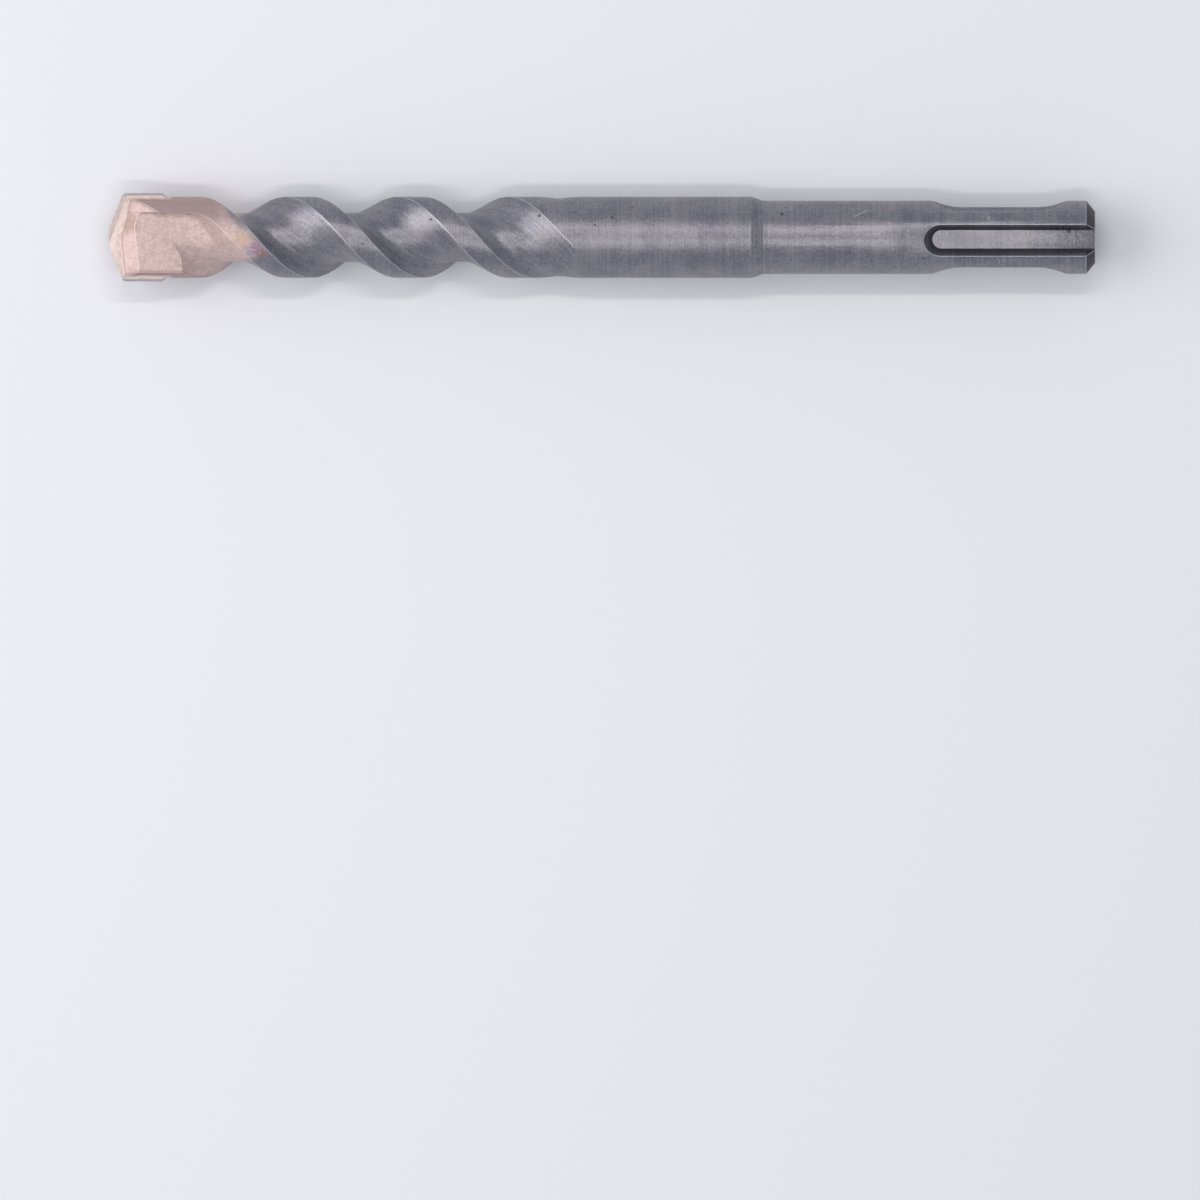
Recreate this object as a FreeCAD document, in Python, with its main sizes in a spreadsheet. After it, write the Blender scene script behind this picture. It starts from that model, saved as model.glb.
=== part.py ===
import FreeCAD, Part
import math
import os

import Sketcher

# Hammer drill bit lying along X: the rear end of its shank is at x = 0 and its tip points toward -X.
# Sizes called "depth" are measured back from the tip, the others forward from the rear end, in mm.
# Angles about the axis start at +Y (the picture's upper edge) and grow toward +Z (the viewer).

SIZES = {
    "overallLength": 134.55,
    "shankDia": 10.0,
    "shankLength": 45.3,
    "bodyDia": 11.07,
    "stepLength": 1.6,
    "rearChamferLength": 1.2,
    "rearChamferRise": 1.5,
    "seamAngle": 45.0,
    "patternTurn": 5.5,
    "slotEnd": 23.5,
    "slotFloorHeight": 2.85,
    "slotFloorWidth": 2.5,
    "slotMouthWidth": 5.05,
    "slotMouthHeight": 5.2,
    "slotFloorSetback": 1.3,
    "grooveRear": 3.96,
    "grooveFront": 22.1,
    "grooveFloorHeight": 2.58,
    "grooveRadius": 4.6,
    "grooveRunout": 3.9,
    "coreDia": 6.73,
    "headCoreDia": 5.6,
    "helixLead": 30.4,
    "leadEdgeAngle": 150.0,
    "heelEdgeAngle": 52.0,
    "leadEdgeStep": 0.8,
    "leadWallAngle": 30.0,
    "heelEdgeDepth": 13.3,
    "heelBlendLength": 8.5,
    "heelWallAngle": 60.0,
    "headWallAngle": 26.0,
    "rimAngle": 13.0,
    "gashEndDepth": 10.05,
    "gashHeight": 2.766,
    "gashWallOffset": 3.41,
    "gashCorner": 0.4,
    "gashClearance": 0.03,
    "gashLean": 0.26,
    "gashLeanLength": 6.0,
    "heelMergeLength": 6.0,
    "coreBlendLength": 6.0,
    "runoutDepth": 54.6,
    "runoutLength": 15.0,
    "runoutLead": 6.9,
    "plateDia": 12.06,
    "plateThickness": 3.6,
    "plateLength": 8.45,
    "plateSeatDia": 11.0,
    "plateSeatLength": 0.5,
    "plateCornerLength": 0.63,
    "pointSlope": 0.38,
    "reliefSlope": 0.2,
    "brazeGap": 0.1,
    "steelFrontDepth": 1.25,
    "leadFacetDepth": 1.5,
    "leadFacetSpread": 0.1,
    "leadFacetSlope": 2.2,
    "heelFacetDepth": 1.64,
    "heelFacetSpread": 0.22,
    "heelFacetSlope": 1.65,
}

os.makedirs("parts", exist_ok=True)
doc = FreeCAD.newDocument("drillBit")
sheet = doc.addObject("Spreadsheet::Sheet", "sizes")
for row, (word, number) in enumerate(SIZES.items(), start=1):
    sheet.set(f"A{row}", word)
    sheet.set(f"B{row}", str(number))
    sheet.setAlias(f"B{row}", word)
doc.recompute()


def size(word):
    return float(sheet.get(word))


def vec(x, y, z):
    return FreeCAD.Vector(x, y, z)


def named(text):
    # Turns words such as "shankDia / 2" into an expression that reads them from the sheet.
    words = text.replace("(", " ( ").replace(")", " ) ").split()
    return " ".join(f"sizes.{word}" if word in SIZES else word for word in words)


def originItem(body, role):
    return next(item for item in body.Origin.OriginFeatures if item.Role == role)


def newSketch(body, name, turn="0", height="0"):
    # A sketch on the XY plane, turned about the bit's axis and then lifted along its own normal.
    sketch = body.newObject("Sketcher::SketchObject", name)
    sketch.AttachmentSupport = [(originItem(body, "XY_Plane"), "")]
    sketch.MapMode = "FlatFace"
    sketch.AttachmentOffset = FreeCAD.Placement(vec(0, 0, 0), FreeCAD.Rotation(vec(1, 0, 0), 1))
    angle = f"( {named(turn)} ) * 1 deg"
    sketch.setExpression("AttachmentOffset.Rotation.Angle", angle)
    sketch.setExpression("AttachmentOffset.Base.y", f"-1 mm * ( {named(height)} ) * sin( {angle} )")
    sketch.setExpression("AttachmentOffset.Base.z", f"1 mm * ( {named(height)} ) * cos( {angle} )")
    return sketch


def pinPoint(sketch, item, end, across, up):
    # Ties one point of a sketch to its two distances from the origin.
    for kind, text, axis in (("DistanceX", across, -2), ("DistanceY", up, -1)):
        if text == "0":
            sketch.addConstraint(Sketcher.Constraint("PointOnObject", item, end, axis))
        elif text:
            place = sketch.getPoint(item, end)
            distance = place.x if kind == "DistanceX" else place.y
            link = Sketcher.Constraint(kind, -1, 1, item, end, distance)
            sketch.setExpression(f"Constraints[{sketch.addConstraint(link)}]", named(text))


def planePoint(across, up):
    return vec(*[float(sheet.evalExpression(named(text))) for text in (across, up)], 0)


def addOutline(sketch, corners):
    # Straight lines through the corners, each corner a pair of texts made of sheet words.
    places = [planePoint(across, up) for across, up in corners]
    count = len(places)
    for index in range(count):
        sketch.addGeometry(Part.LineSegment(places[index], places[(index + 1) % count]), False)
    for index, (across, up) in enumerate(corners):
        sketch.addConstraint(Sketcher.Constraint("Coincident", index, 2, (index + 1) % count, 1))
        pinPoint(sketch, index, 1, across, up)


def revolve(body, kind, name, sketch, axis):
    feature = body.newObject(kind, name)
    feature.Profile = sketch
    feature.ReferenceAxis = axis
    feature.Angle = 360
    return feature


def patternTwice(body, name, feature):
    # The same cut again on the other side of the axis.
    pattern = body.newObject("PartDesign::PolarPattern", name)
    pattern.Originals = [feature]
    pattern.Axis = (originItem(body, "X_Axis"), [""])
    pattern.Angle = 360
    pattern.Occurrences = 2
    body.Tip = pattern
    return pattern


def addBlank(body):
    # The turned blank: shank with a chamfered rear end, short cone, thicker working part.
    sketch = newSketch(body, "blankOutline", turn="seamAngle")
    corners = [
        ("0", "0"),
        ("0", "shankDia / 2 - rearChamferRise"),
        ("0 - rearChamferLength", "shankDia / 2"),
        ("0 - shankLength", "shankDia / 2"),
        ("0 - shankLength - stepLength", "bodyDia / 2"),
        ("steelFrontDepth - overallLength", "bodyDia / 2"),
        ("steelFrontDepth - overallLength", "0"),
    ]
    addOutline(sketch, corners)
    revolve(body, "PartDesign::Revolution", "turnedBlank", sketch, (originItem(body, "X_Axis"), [""]))


def arcOf(centre, radius, start, end):
    # A circular arc, counter-clockwise between two angles in degrees.
    circle = Part.Circle(centre, vec(0, 0, 1), radius)
    return Part.ArcOfCircle(circle, math.radians(start), math.radians(end))


def joinEnds(sketch, pairs):
    for item, end, otherItem, otherEnd in pairs:
        sketch.addConstraint(Sketcher.Constraint("Coincident", item, end, otherItem, otherEnd))


def addSlotOutline(body, name, height, width, end):
    # One level of a drive slot: open past the rear end, half round at its front end.
    sketch = newSketch(body, name, turn="patternTurn", height=height)
    half = f"{width} / 2"
    centre = f"0 - {end} + {half}"
    rear = planePoint("2", half)
    middle = planePoint(centre, "0")
    upper = vec(middle.x, rear.y, 0)
    lower = vec(middle.x, -rear.y, 0)
    rearLow = vec(rear.x, -rear.y, 0)
    sketch.addGeometry(Part.LineSegment(rear, upper), False)
    sketch.addGeometry(arcOf(middle, rear.y, 90, 270), False)
    sketch.addGeometry(Part.LineSegment(lower, rearLow), False)
    sketch.addGeometry(Part.LineSegment(rearLow, rear), False)
    joinEnds(sketch, [(0, 2, 1, 1), (1, 2, 2, 1), (2, 2, 3, 1), (3, 2, 0, 1)])
    pinPoint(sketch, 0, 1, "2", half)
    pinPoint(sketch, 0, 2, centre, half)
    pinPoint(sketch, 2, 1, centre, f"0 - {half}")
    pinPoint(sketch, 2, 2, "2", f"0 - {half}")
    pinPoint(sketch, 1, 3, centre, "")
    return sketch


def addDriveSlots(body):
    # Two open slots with sloping walls, for the drive keys of the chuck.
    mouth = addSlotOutline(body, "slotMouth", "slotMouthHeight", "slotMouthWidth", "slotEnd")
    floorEnd = "( slotEnd - slotFloorSetback )"
    floor = addSlotOutline(body, "slotFloor", "slotFloorHeight", "slotFloorWidth", floorEnd)
    loft = body.newObject("PartDesign::SubtractiveLoft", "driveSlot")
    loft.Profile = mouth
    loft.Sections = [floor]
    loft.Ruled = True
    patternTwice(body, "driveSlots", loft)


def addBallGrooves(body):
    # Two closed grooves for the locking balls: a round-ended capsule sunk into the shank.
    sketch = newSketch(body, "ballGrooveOutline", turn="patternTurn")
    axisUp = "grooveFloorHeight + grooveRadius"
    rearMid = "0 - grooveRear - grooveRunout"
    frontMid = "0 - grooveFront + grooveRunout"
    rear = planePoint(rearMid, axisUp)
    front = planePoint(frontMid, axisUp)
    radius = size("grooveRadius")
    rearFoot = vec(rear.x, rear.y - radius, 0)
    frontFoot = vec(front.x, front.y - radius, 0)
    rearEnd = vec(rear.x + radius, rear.y, 0)
    frontEnd = vec(front.x - radius, front.y, 0)
    sketch.addGeometry(arcOf(rear, radius, 270, 360), False)
    sketch.addGeometry(Part.LineSegment(rearFoot, frontFoot), False)
    sketch.addGeometry(arcOf(front, radius, 180, 270), False)
    sketch.addGeometry(Part.LineSegment(frontEnd, rearEnd), False)
    sketch.addGeometry(Part.LineSegment(frontEnd, rearEnd), True)
    ends = [(0, 1, 1, 1), (1, 2, 2, 2), (2, 1, 3, 1), (3, 2, 0, 2), (4, 1, 3, 1), (4, 2, 3, 2)]
    joinEnds(sketch, ends)
    pinPoint(sketch, 0, 3, rearMid, "")
    pinPoint(sketch, 1, 1, rearMid, "grooveFloorHeight")
    pinPoint(sketch, 3, 2, f"{rearMid} + grooveRadius", axisUp)
    pinPoint(sketch, 2, 3, frontMid, "")
    pinPoint(sketch, 1, 2, frontMid, "grooveFloorHeight")
    pinPoint(sketch, 3, 1, f"{frontMid} - grooveRadius", axisUp)
    groove = revolve(body, "PartDesign::Groove", "ballGroove", sketch, (sketch, ["Axis0"]))
    patternTwice(body, "ballGrooves", groove)


def addHeadGash(body):
    # Flat pocket along each side of the head, bounded on one side by the upright wall of the land.
    sketch = body.newObject("Sketcher::SketchObject", "gashOutline")
    sketch.AttachmentSupport = [(originItem(body, "YZ_Plane"), "")]
    sketch.MapMode = "FlatFace"
    sketch.setExpression("AttachmentOffset.Base.z", f"-1 mm * {named('( overallLength + 1 )')}")
    corners = [
        ("gashWallOffset", "gashHeight"),
        ("gashWallOffset", "bodyDia"),
        ("0 - bodyDia", "bodyDia"),
        ("0 - bodyDia", "gashHeight"),
    ]
    addOutline(sketch, corners)
    sketch.fillet(0, 1, size("gashCorner"), True)
    pocket = body.newObject("PartDesign::Pocket", "headGash")
    pocket.Profile = sketch
    pocket.Reversed = True
    pocket.setExpression("Length", named("( gashEndDepth + 1.02 )"))
    patternTwice(body, "headGashes", pocket)


def smoothStep(value):
    share = min(max(value, 0.0), 1.0)
    return share * share * (3 - 2 * share)


def leadEdge(depth):
    # Angle of the flute's leading edge, which keeps to the helix all the way.
    turned = 360 / size("helixLead") * (depth - size("gashEndDepth"))
    return size("leadEdgeAngle") + size("leadEdgeStep") + turned


def heelEdge(depth):
    # Angle of the flute's heel edge: straight along the head, then easing into the helix.
    rate = 360 / size("helixLead")
    blend = size("heelBlendLength")
    past = depth - size("heelEdgeDepth") + blend / 2
    if past <= 0:
        turned = 0.0
    elif past < blend:
        turned = rate * past * past / (2 * blend)
    else:
        turned = rate * (past - blend / 2)
    return size("heelEdgeAngle") + turned


def pastHead(depth):
    # 0 beside the head, 1 where the flute has its full section.
    return smoothStep((depth - size("gashEndDepth")) / size("coreBlendLength"))


def floorRadius(depth, across):
    # Low beside the head, the core radius along the helix, rising out of the steel at the end,
    # sooner on the leading side.
    head = size("headCoreDia") / 2
    core = size("coreDia") / 2
    fade = smoothStep((depth - size("runoutDepth") + size("runoutLead") * across) / size("runoutLength"))
    return head + (core - head) * pastHead(depth) + (size("bodyDia") / 2 + 0.1 - core) * fade


def wallShare(share):
    # Height of a flute wall, 0 at the floor and 1 at the land, with a rounded foot.
    if share <= 0:
        return 0.0
    if share < 1:
        return share * share * (3 - share) / 2
    return 1.5 * share - 0.5


def helixPoint(depth, across):
    # A point of the flute's section: across runs 0 to 1 from the heel side to the leading side,
    # a little past both edges.
    heel = heelEdge(depth)
    lead = leadEdge(depth)
    rim = size("rimAngle")
    floor = floorRadius(depth, across)
    rise = max(size("bodyDia") / 2 - floor, 0.6)
    angle = heel - rim + (lead - heel + 2 * rim) * across
    heelWall = size("headWallAngle") + (size("heelWallAngle") - size("headWallAngle")) * pastHead(depth)
    heelShare = (heel - angle) / heelWall + 1
    leadShare = (angle - lead) / size("leadWallAngle") + 1
    radius = floor + rise * wallShare(max(heelShare, leadShare))
    turn = math.radians(angle)
    return radius * math.cos(turn), radius * math.sin(turn)


def gashPoint(across, top):
    # The same for the head gash: down its upright wall, round the corner, then along its flat,
    # all just clear of the pocket that is already there.
    wall = size("gashWallOffset") - size("gashClearance")
    height = size("gashHeight") + size("gashClearance")
    corner = size("gashCorner")
    if across < 0.16:
        return wall, top + (height + corner - top) * across / 0.16
    if across < 0.26:
        turn = math.radians(90 * (across - 0.16) / 0.10)
        return wall - corner + corner * math.cos(turn), height + corner - corner * math.sin(turn)
    return wall - corner - (across - 0.26) * (wall - corner + 0.5) / 0.24, height


def leanAt(along, start):
    # The first rows of the flute lie on a leaning plane, which gives the gash its slanted end.
    return size("gashLean") * max(0.0, 1 - (along - start) / size("gashLeanLength"))


def flutePoint(start, along, across):
    # Blends the gash's section into the helical one on the heel side.
    lean = leanAt(along, start)
    depth = along
    for _ in range(4):
        up, out = helixPoint(depth, across)
        depth = along - lean * up
    fade = smoothStep((depth - size("gashEndDepth")) / size("heelMergeLength"))
    gashPart = (1 - fade) * (1 - smoothStep((across - 0.3) / 0.2))
    if gashPart > 0:
        gashUp, gashOut = gashPoint(across, math.hypot(*helixPoint(depth, 0)))
        up += (gashUp - up) * gashPart
        out += (gashOut - out) * gashPart
    return vec(along - lean * up - size("overallLength"), up, out)


def closingRow(start, along, row):
    # An arc outside the steel that joins the two ends of one row of flute points.
    ends = [(math.hypot(point.y, point.z), math.atan2(point.z, point.y)) for point in (row[0], row[-1])]
    (firstReach, firstTurn), (lastReach, lastTurn) = ends
    if lastTurn < firstTurn:
        lastTurn += 2 * math.pi
    points = []
    for index in range(1, len(row) - 1):
        share = index / (len(row) - 1)
        reach = firstReach + (lastReach - firstReach) * share
        turn = firstTurn + (lastTurn - firstTurn) * share
        up = reach * math.cos(turn)
        x = along - leanAt(along, start) * up - size("overallLength")
        points.append(vec(x, up, reach * math.sin(turn)))
    return [row[0]] + points + [row[-1]]


def throughPoints(points):
    curve = Part.BSplineCurve()
    curve.interpolate(Points=points, Parameters=[float(index) for index in range(len(points))])
    return curve


def gridSurface(rows):
    # A smooth surface through a grid of points, evenly spaced in both of its parameters.
    across = [throughPoints(row) for row in rows]
    poleRows = [curve.getPoles() for curve in across]
    along = [throughPoints(list(column)) for column in zip(*poleRows)]
    poles = [list(row) for row in zip(*[curve.getPoles() for curve in along])]
    surface = Part.BSplineSurface()
    surface.buildFromPolesMultsKnots(
        poles,
        along[0].getMultiplicities(),
        across[0].getMultiplicities(),
        along[0].getKnots(),
        across[0].getKnots(),
        False,
        False,
        3,
        3,
    )
    return surface


def zoneFaces(surface, seams):
    # The surface as separate faces, divided at the given rows: head merge, helix, run-out.
    first, last, low, high = surface.bounds()
    faces = []
    for begin, end in zip([first] + seams, seams + [last]):
        zone = surface.copy()
        zone.segment(float(begin), float(end), low, high)
        faces.append(zone.toShape())
    return faces


def solidOf(faces):
    shell = Part.makeShell(faces)
    shell.sewShape(0.0001)
    solid = Part.Solid(shell.Shells[0])
    if solid.Volume < 0:
        solid.reverse()
    return solid


def halfTurn(shape):
    # The same shape on the other side of the bit's axis.
    turned = shape.copy()
    turned.rotate(vec(0, 0, 0), vec(1, 0, 0), 180)
    return turned


def addTool(name, solids):
    tool = doc.addObject("Part::Feature", name)
    tool.Shape = Part.makeCompound(solids + [halfTurn(solid) for solid in solids])
    return tool


def addFlutes():
    # What the two flutes take out, from the end of the head gash to the run-out.
    edgeUp = size("bodyDia") / 2 * math.cos(math.radians(size("leadEdgeAngle")))
    start = size("gashEndDepth") + size("gashLean") * edgeUp
    end = size("runoutDepth") + size("runoutLength") + 1.0
    rowCount = 36
    pointCount = 31
    depths = [start + (end - start) * index / (rowCount - 1) for index in range(rowCount)]
    shares = [index / (pointCount - 1) for index in range(pointCount)]
    inner = [[flutePoint(start, depth, share) for share in shares] for depth in depths]
    outer = [closingRow(start, depth, row) for depth, row in zip(depths, inner)]
    surfaces = [gridSurface(inner), gridSurface(outer)]
    zoneEnds = (size("gashEndDepth") + size("heelMergeLength"), size("runoutDepth"))
    seams = [round((depth - start) / (end - start) * (rowCount - 1)) for depth in zoneEnds]
    faces = zoneFaces(surfaces[0], seams) + zoneFaces(surfaces[1], seams)
    for last in (0, 1):
        rims = [surface.uIso(surface.bounds()[last]).toShape() for surface in surfaces]
        faces.append(Part.Face(Part.Wire(rims)))
    return addTool("flutes", [solidOf(faces)])


def columnAhead(lowUp, highUp, lowOut, highOut, depthAt):
    # Solid in front of a sloping plane: depthAt gives the plane's depth at a corner (up, out).
    corners = [(lowUp, lowOut), (highUp, lowOut), (highUp, highOut), (lowUp, highOut)]
    front = [vec(-1.2 * size("overallLength"), up, out) for up, out in corners]
    back = [vec(depthAt(up, out) - size("overallLength"), up, out) for up, out in corners]
    loops = [front, back]
    for index in range(4):
        following = (index + 1) % 4
        loops.append([front[index], front[following], back[following], back[index]])
    return solidOf([Part.Face(Part.makePolygon(loop + [loop[0]])) for loop in loops])


def addFrontFacets():
    # Ground facets at the steel's front, which leave the carbide standing clear.
    cheek = size("plateThickness") / 2
    far = size("bodyDia")

    def leadDepth(up, out):
        return size("leadFacetDepth") - size("leadFacetSpread") * up + size("leadFacetSlope") * (out - cheek)

    def heelDepth(up, out):
        return size("heelFacetDepth") + size("heelFacetSpread") * up + size("heelFacetSlope") * (out - cheek)

    lead = columnAhead(-far, far, cheek, far, leadDepth)
    heel = columnAhead(-far, far, cheek, far, heelDepth)
    return addTool("frontFacets", [lead, heel])


def addBlock(name, height, end):
    # A block across the head, from in front of the tip to the given depth.
    block = doc.addObject("Part::Box", name)
    block.setExpression("Length", named(f"( {end} + 4 )"))
    block.setExpression("Width", named("( bodyDia * 2 )"))
    block.setExpression("Height", named(f"( {height} )"))
    block.setExpression("Placement.Base.x", "-1 mm * " + named("( overallLength + 4 )"))
    block.setExpression("Placement.Base.y", "-1 mm * " + named("( bodyDia )"))
    block.setExpression("Placement.Base.z", "-1 mm * " + named(f"( {height} ) / 2"))
    return block


def combine(kind, name, base, tool):
    joined = doc.addObject(kind, name)
    joined.Base = base
    joined.Tool = tool
    return joined


def addPlate():
    # The carbide plate: turned to the drill's size, cut to its thickness, ground to a roof point.
    body = doc.addObject("PartDesign::Body", "plateBody")
    turned = newSketch(body, "plateOutline")
    tip = "0 - overallLength"
    rear = "plateLength - overallLength"
    seat = "plateLength - plateSeatLength - overallLength"
    corner = "plateLength - plateSeatLength - plateCornerLength - overallLength"
    corners = [
        (tip, "0"),
        (tip, "plateDia / 2"),
        (corner, "plateDia / 2"),
        (seat, "plateSeatDia / 2"),
        (rear, "plateSeatDia / 2"),
        (rear, "0"),
    ]
    addOutline(turned, corners)
    revolve(body, "PartDesign::Revolution", "turnedPlate", turned, (originItem(body, "X_Axis"), [""]))
    trim = body.newObject("Sketcher::SketchObject", "plateTrim")
    trim.AttachmentSupport = [(originItem(body, "YZ_Plane"), "")]
    trim.MapMode = "FlatFace"
    trim.setExpression("AttachmentOffset.Base.z", "-1 mm * " + named("( overallLength + 1 )"))
    low = "plateThickness / 2"
    upper = [("plateDia", low), ("plateDia", "plateDia")]
    lower = [("0 - plateDia", "plateDia"), ("0 - plateDia", low)]
    addOutline(trim, upper + lower)
    pocket = body.newObject("PartDesign::Pocket", "plateFace")
    pocket.Profile = trim
    pocket.Reversed = True
    pocket.setExpression("Length", named("( plateLength + 2 )"))
    patternTwice(body, "plateFaces", pocket)
    reach = size("plateDia")

    def flankDepth(up, out):
        return size("pointSlope") * up + size("reliefSlope") * out

    flanks = addTool("flanks", [columnAhead(-reach, reach, -reach, reach, flankDepth)])
    return combine("Part::Cut", "carbidePlate", body, flanks)


def addSteelBlank():
    body = doc.addObject("PartDesign::Body", "steelBlank")
    addBlank(body)
    addDriveSlots(body)
    addBallGrooves(body)
    addHeadGash(body)
    return body


fluted = combine("Part::Cut", "flutedBlank", addSteelBlank(), addFlutes())
pointed = combine("Part::Cut", "pointedBlank", fluted, addFrontFacets())
slotBlock = addBlock("plateSlot", "plateThickness + 2 * brazeGap", "plateLength + brazeGap")
plateBlock = addBlock("plateRoom", "plateThickness", "plateLength")
filled = combine("Part::Common", "slotFilling", pointed, slotBlock)
nodes = {
    "steel_body": combine("Part::Cut", "steelBody", pointed, slotBlock),
    "braze_joint": combine("Part::Cut", "brazeJoint", filled, plateBlock),
    "carbide_plate": addPlate(),
}
doc.recompute()

for item in doc.Objects:
    if "Invalid" in item.State or "Error" in item.State:
        raise RuntimeError(f"{item.Name}: {item.State}")
for label, node in nodes.items():
    node.Label = label
    shape = node.Shape
    if shape.isNull() or not shape.isValid() or len(shape.Solids) != 1:
        raise RuntimeError(f"{label} is not one valid solid")
    shape.exportStep(f"parts/{label}.step")
    print(label, "volume", round(shape.Volume, 1), "faces", len(shape.Faces))
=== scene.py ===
import math

import bmesh
import bpy
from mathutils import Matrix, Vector


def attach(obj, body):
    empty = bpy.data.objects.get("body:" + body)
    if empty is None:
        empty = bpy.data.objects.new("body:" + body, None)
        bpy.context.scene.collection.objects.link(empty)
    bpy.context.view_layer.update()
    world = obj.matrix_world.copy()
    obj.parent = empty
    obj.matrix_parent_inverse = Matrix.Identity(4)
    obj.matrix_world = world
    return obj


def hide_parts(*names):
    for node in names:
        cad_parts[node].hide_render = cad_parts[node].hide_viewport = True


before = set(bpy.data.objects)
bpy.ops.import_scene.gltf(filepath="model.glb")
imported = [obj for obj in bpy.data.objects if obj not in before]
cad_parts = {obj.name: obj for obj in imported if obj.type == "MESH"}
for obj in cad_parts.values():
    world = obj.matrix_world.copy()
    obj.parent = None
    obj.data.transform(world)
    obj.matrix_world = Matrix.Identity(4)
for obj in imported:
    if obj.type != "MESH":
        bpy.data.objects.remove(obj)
bpy.context.view_layer.update()

mm = 0.001
softNoise = (3.0, 0.6)  # detail and roughness of each kind of noise
speckNoise = (3.0, 0.65)
raggedNoise = (4.0, 0.6)


def rgb(red, green, blue):  # a colour as it looks on screen, 0 to 255, in the linear values that shaders take
    levels = [value / 255 for value in (red, green, blue)]
    return [level / 12.92 if level < 0.04045 else ((level + 0.055) / 1.055) ** 2.4 for level in levels] + [1]


def addNode(tree, kind, inputs=None, **settings):
    node = tree.nodes.new(kind)
    for name, value in settings.items():
        setattr(node, name, value)
    for name, value in (inputs or {}).items():
        if isinstance(value, bpy.types.NodeSocket):
            tree.links.new(value, node.inputs[name])
        else:
            node.inputs[name].default_value = value
    return node


def calc(tree, operation, first, second=0.0):
    return addNode(tree, "ShaderNodeMath", {0: first, 1: second}, operation=operation).outputs[0]


def vectorCalc(tree, operation, first, second):
    return addNode(tree, "ShaderNodeVectorMath", {0: first, 1: second}, operation=operation)


def between(tree, value, low, high, start=0.0, end=1.0):  # 0 to 1 as the value goes from low to high, eased
    inputs = {"Value": value, "From Min": low, "From Max": high, "To Min": start, "To Max": end}
    return addNode(tree, "ShaderNodeMapRange", inputs, interpolation_type="SMOOTHSTEP").outputs[0]


def blendColour(tree, share, first, second):
    node = addNode(tree, "ShaderNodeMix", data_type="RGBA")
    for index, value in ((0, share), (6, first), (7, second)):
        if isinstance(value, bpy.types.NodeSocket):
            tree.links.new(value, node.inputs[index])
        else:
            node.inputs[index].default_value = value
    return node.outputs[2]


def blendValue(tree, share, first, second):
    return addNode(tree, "ShaderNodeMix", {0: share, 2: first, 3: second}).outputs[0]


def noise(tree, place, scale, detail=2.0, rough=0.5):
    inputs = {"Vector": place, "Scale": scale, "Detail": detail, "Roughness": rough}
    return addNode(tree, "ShaderNodeTexNoise", inputs).outputs["Fac"]


def mixSum(tree, *parts):  # the sum of values, each with its share
    total = 0.0
    for value, share in parts:
        total = calc(tree, "ADD", total, calc(tree, "MULTIPLY", value, share))
    return total


def newGroup(name, inputs, outputs):
    group = bpy.data.node_groups.new(name, "ShaderNodeTree")
    for word, value in inputs.items():
        socket = group.interface.new_socket(name=word, in_out="INPUT", socket_type="NodeSocketFloat")
        socket.default_value = value
    for word in outputs:
        group.interface.new_socket(name=word, in_out="OUTPUT", socket_type="NodeSocketFloat")
    return group, group.nodes.new("NodeGroupInput").outputs, group.nodes.new("NodeGroupOutput").inputs


def useGroup(tree, group, **inputs):
    node = tree.nodes.new("ShaderNodeGroup")
    node.node_tree = group
    for name, value in inputs.items():
        node.inputs[name].default_value = value
    return node.outputs


def millimetres(tree):  # the place on the object in millimetres
    place = tree.nodes.new("ShaderNodeTexCoord").outputs["Object"]
    return addNode(tree, "ShaderNodeVectorMath", {0: place, 3: 1000.0}, operation="SCALE").outputs[0]


def fromAxis(tree, apart):  # the distance from the bit's axis
    squares = calc(tree, "ADD", calc(tree, "POWER", apart[1], 2.0), calc(tree, "POWER", apart[2], 2.0))
    return calc(tree, "SQRT", squares)


def newBuilder(name, inputs):  # a Geometry Nodes tree with named sizes
    group = bpy.data.node_groups.new(name, "GeometryNodeTree")
    group.interface.new_socket(name="Geometry", in_out="INPUT", socket_type="NodeSocketGeometry")
    for word, value in inputs.items():
        kind = "NodeSocketInt" if isinstance(value, int) else "NodeSocketFloat"
        group.interface.new_socket(name=word, in_out="INPUT", socket_type=kind).default_value = value
    group.interface.new_socket(name="Geometry", in_out="OUTPUT", socket_type="NodeSocketGeometry")
    return group, group.nodes.new("NodeGroupInput").outputs, group.nodes.new("NodeGroupOutput").inputs


def closeBuilder(group, result, geometry, material):
    whole = addNode(group, "GeometryNodeRealizeInstances", {"Geometry": geometry}).outputs[0]
    dressed = addNode(group, "GeometryNodeSetMaterial", {"Geometry": whole, "Material": material}).outputs[0]
    group.links.new(dressed, result[0])


def buildWith(group, sizes, holder):  # runs the tree on an object and keeps the result as its plain mesh
    modifier = holder.modifiers.new(group.name, "NODES")
    modifier.node_group = group
    sockets = {item.name: item.identifier for item in group.interface.items_tree if item.in_out == "INPUT"}
    for word, value in sizes.items():
        modifier[sockets[word]] = value
    bpy.context.view_layer.update()
    evaluated = holder.evaluated_get(bpy.context.evaluated_depsgraph_get())
    mesh = bpy.data.meshes.new_from_object(evaluated)
    holder.modifiers.remove(modifier)
    holder.data = mesh
    print(holder.name, "has", len(mesh.polygons), "faces")
    return holder


def newHolder(name, points=(), edges=()):
    mesh = bpy.data.meshes.new(name)
    mesh.from_pydata(points, edges, [])
    holder = bpy.data.objects.new(name, mesh)
    bpy.context.scene.collection.objects.link(holder)
    return holder


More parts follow.
